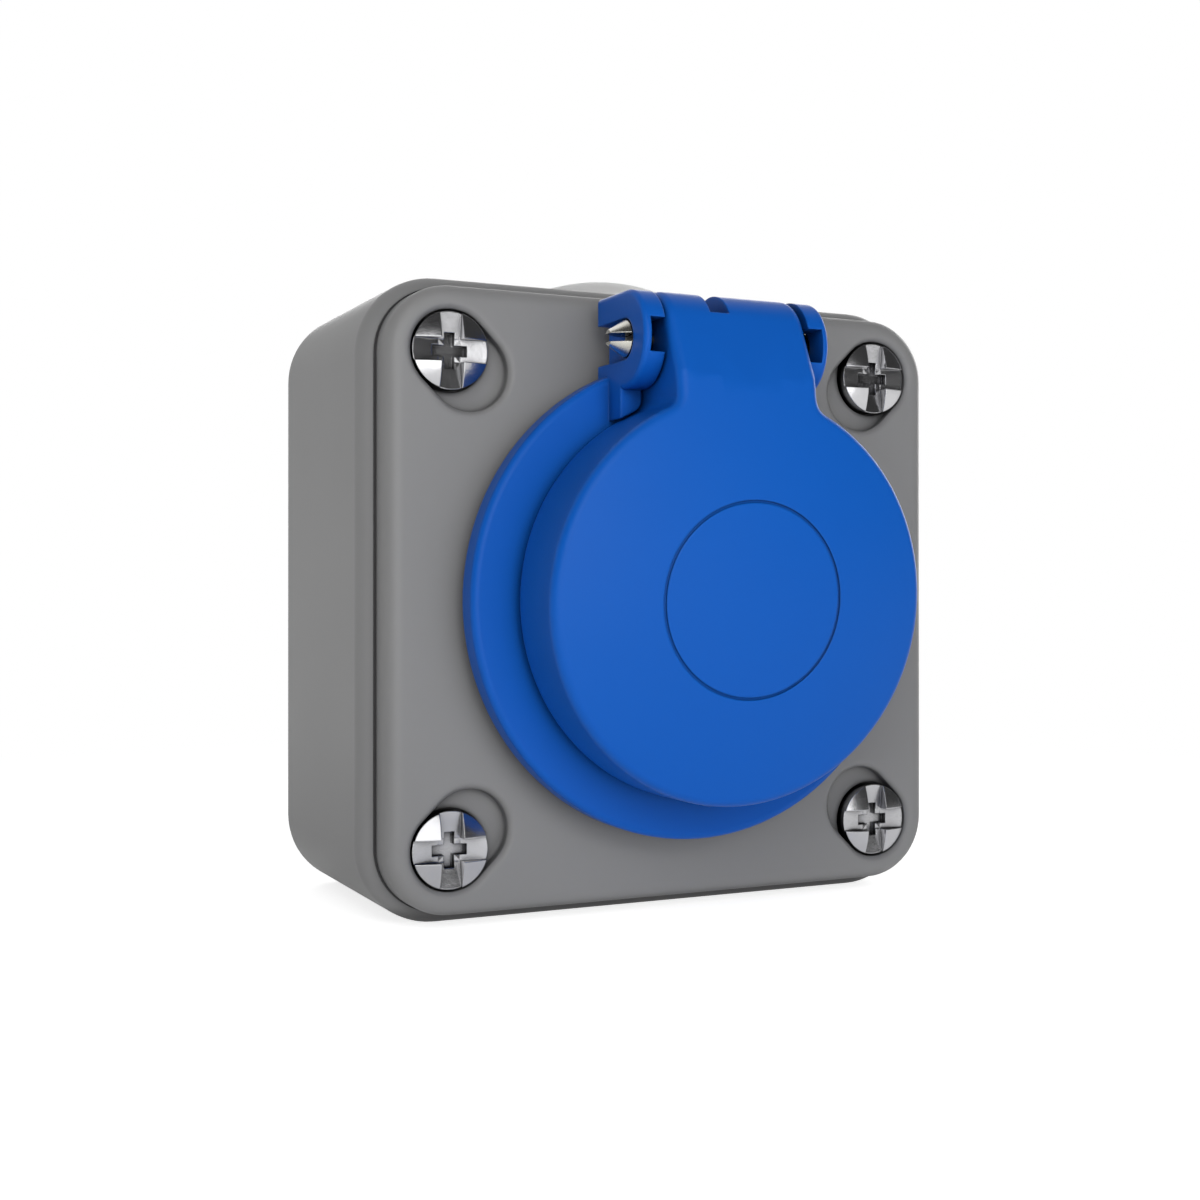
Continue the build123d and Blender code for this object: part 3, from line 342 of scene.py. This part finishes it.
lid = joined_copy("lid_shell", "hinge_lid", LID_CREASE, blue)
weigh = lid.modifiers.new("weigh", "WEIGHTED_NORMAL")
weigh.keep_sharp = True
bpy.ops.object.modifier_apply(modifier=weigh.name)
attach(lid, "lid")
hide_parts("hinge_lid")

# Lid spring: a torsion spring of drawn wire round the hinge pin. One leg stays in the flange and the other
# turns with the lid, and the coil between them winds. A joined copy of its mesh, smooth up to a crease, is
# shown in its place.
SPRING_CREASE = 40
spring = joined_copy("spring_wire", "lid_spring", SPRING_CREASE, spring_steel)
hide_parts("lid_spring")
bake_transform(spring)

# Inner mouldings: the contact carrier, screwed to the back of the well, and the ring nut that holds the
# socket frame behind the cover, both in black plastic.
BLACK = (0.014, 0.014, 0.015, 1)
PALE_BLACK = (0.022, 0.022, 0.023, 1)
BLACK_EDGE_SOFTNESS = 0.0003
black = moulded_plastic("black_plastic", BLACK, PALE_BLACK, roughness=0.45, specular=0.4,
                        softness=BLACK_EDGE_SOFTNESS)
give(black, "contact_carrier", "clamp_nut")

# Floor: a plain white sheet that goes far enough to fill the view. It keeps the object's soft shadow, runs
# to pure white away from it, so that no horizon shows, and gives some light back from below.
FLOOR_Z = cad_box[0].z
FLOOR_SIDE = 12.0
FLOOR_PALE = (0.8, 0.8, 0.8, 1)
FLOOR_LIGHT = 0.29
FLOOR_GLOW = 0.78
SHADOW_REACH = (0.05, 0.22)
WHITE = (1, 1, 1, 1)
bpy.ops.mesh.primitive_plane_add(size=FLOOR_SIDE, location=(0, 0, FLOOR_Z))
floor = bpy.context.object
floor.name = "floor"


def looked_at(start):
    """Two marks, 1 or 0: for rays from the camera or through glass, and for rays off a shine."""
    camera_ray = start.node("ShaderNodeLightPath", output="Is Camera Ray")
    glass_ray = start.node("ShaderNodeLightPath", output="Is Transmission Ray")
    shine_ray = start.node("ShaderNodeLightPath", output="Is Glossy Ray")
    return camera_ray.maths("MAXIMUM", camera_ray, glass_ray), shine_ray


floor_material, start = new_material("floor_white")
seen_ray, shine_ray = looked_at(start)
matte = start.node("ShaderNodeBsdfDiffuse", inputs={"Color": FLOOR_PALE})
strength = FLOOR_LIGHT + (FLOOR_GLOW - FLOOR_LIGHT) * seen_ray
glow = start.node("ShaderNodeEmission", inputs={"Color": WHITE, "Strength": strength})
white = start.node("ShaderNodeEmission", inputs={"Color": WHITE, "Strength": 1.0})
place = start.node("ShaderNodeTexCoord", output="Object")
distance = start.node("ShaderNodeVectorMath", {"operation": "LENGTH"}, {0: place}, output=1)
far = start.node("ShaderNodeMapRange", {"interpolation_type": "SMOOTHSTEP"},
                 {"Value": distance, "From Min": SHADOW_REACH[0], "From Max": SHADOW_REACH[1]})
near = start.node("ShaderNodeAddShader", inputs={0: matte, 1: glow})
shown = far * seen_ray.maths("MAXIMUM", seen_ray, shine_ray)
surface = start.node("ShaderNodeMixShader", inputs={"Fac": shown, 1: near, 2: white})
start.node("ShaderNodeOutputMaterial", inputs={"Surface": surface})
floor.data.materials.append(floor_material)

# Studio: white behind and beside the object, and dark towards the camera, so that the polished metal shows
# both. Three soft lamps stand in front, at the left and above, and one each behind and at the right. The two
# stronger ones in front don't show as reflections, so that the screws' facets aren't all white.
ROOM_LEVEL = 0.06
DARK_LEVEL = 0.05
DARK_TO_WHITE = (-0.2, 0.35)
world = bpy.data.worlds.new("studio")
bpy.context.scene.world = world
world.use_nodes = True
world.node_tree.nodes.clear()
sky = Value(world.node_tree)
seen_ray, shine_ray = looked_at(sky)
direction = sky.node("ShaderNodeTexCoord", output="Generated")
heading = sky.node("ShaderNodeSeparateXYZ", inputs={"Vector": direction}, output="Y")
wall = sky.node("ShaderNodeMapRange", {"interpolation_type": "SMOOTHSTEP"}, {
    "Value": heading, "From Min": DARK_TO_WHITE[0], "From Max": DARK_TO_WHITE[1], "To Min": DARK_LEVEL})
shone = ROOM_LEVEL + shine_ray * (wall - ROOM_LEVEL)
level = shone + seen_ray * (1 - shone)
room = sky.node("ShaderNodeBackground", inputs={"Color": WHITE, "Strength": level})
sky.node("ShaderNodeOutputWorld", inputs={"Surface": room})


def soft_lamp(name, place, aim, side, watts, mirrored=True):
    """A square area lamp turned towards a point, which may be hidden from reflections."""
    lamp = bpy.data.lights.new(name, "AREA")
    lamp.shape = "SQUARE"
    lamp.size = side
    lamp.energy = watts
    holder = bpy.data.objects.new(name, lamp)
    bpy.context.scene.collection.objects.link(holder)
    holder.visible_glossy = mirrored
    holder.location = place
    holder.rotation_euler = (Vector(aim) - Vector(place)).to_track_quat("-Z", "Y").to_euler()


COVER_MIDDLE = (0, -0.03, 0)
BOX_MIDDLE = (0, -0.02, 0)
soft_lamp("front_lamp", (0.039, -0.478, 0.016), COVER_MIDDLE, side=0.38, watts=0.72, mirrored=False)
soft_lamp("near_lamp", (-0.089, -0.273, 0.023), COVER_MIDDLE, side=0.22, watts=0.26)
soft_lamp("key_lamp", (-0.161, -0.376, 0.238), COVER_MIDDLE, side=0.25, watts=0.58, mirrored=False)
soft_lamp("back_lamp", (0.2, 0.44, 0.14), BOX_MIDDLE, side=0.36, watts=1.1)
soft_lamp("right_lamp", (0.42, 0.16, 0.14), BOX_MIDDLE, side=0.3, watts=0.8)

# Camera: at the photograph's place, level with the middle of the box and turned to its right. The focal
# length and the middle of the view are in the photograph's pixels, and the turns in radians.
PHOTO_SIDE = 1200
FOCAL_PIXELS = 1707.0
CENTRE_U = 720.0
CENTRE_V = 584.8
EYE = (-0.09658, -0.23981, 0.00154)
TURN = 0.4803
RISE = 0.0016
SENSOR = 36.0
NEAREST = 0.01
FURTHEST = 100
camera = bpy.data.cameras.new("camera")
camera.sensor_width = SENSOR
camera.lens = FOCAL_PIXELS / PHOTO_SIDE * SENSOR
camera.shift_x = (PHOTO_SIDE / 2 - CENTRE_U) / PHOTO_SIDE
camera.shift_y = (CENTRE_V - PHOTO_SIDE / 2) / PHOTO_SIDE
camera.clip_start = NEAREST
camera.clip_end = FURTHEST
eye = bpy.data.objects.new("camera", camera)
bpy.context.scene.collection.objects.link(eye)
eye.location = EYE
eye.rotation_euler = Euler((radians(90) + RISE, 0, -TURN), "XYZ")
bpy.context.scene.camera = eye
bpy.context.scene.view_settings.view_transform = "Standard"
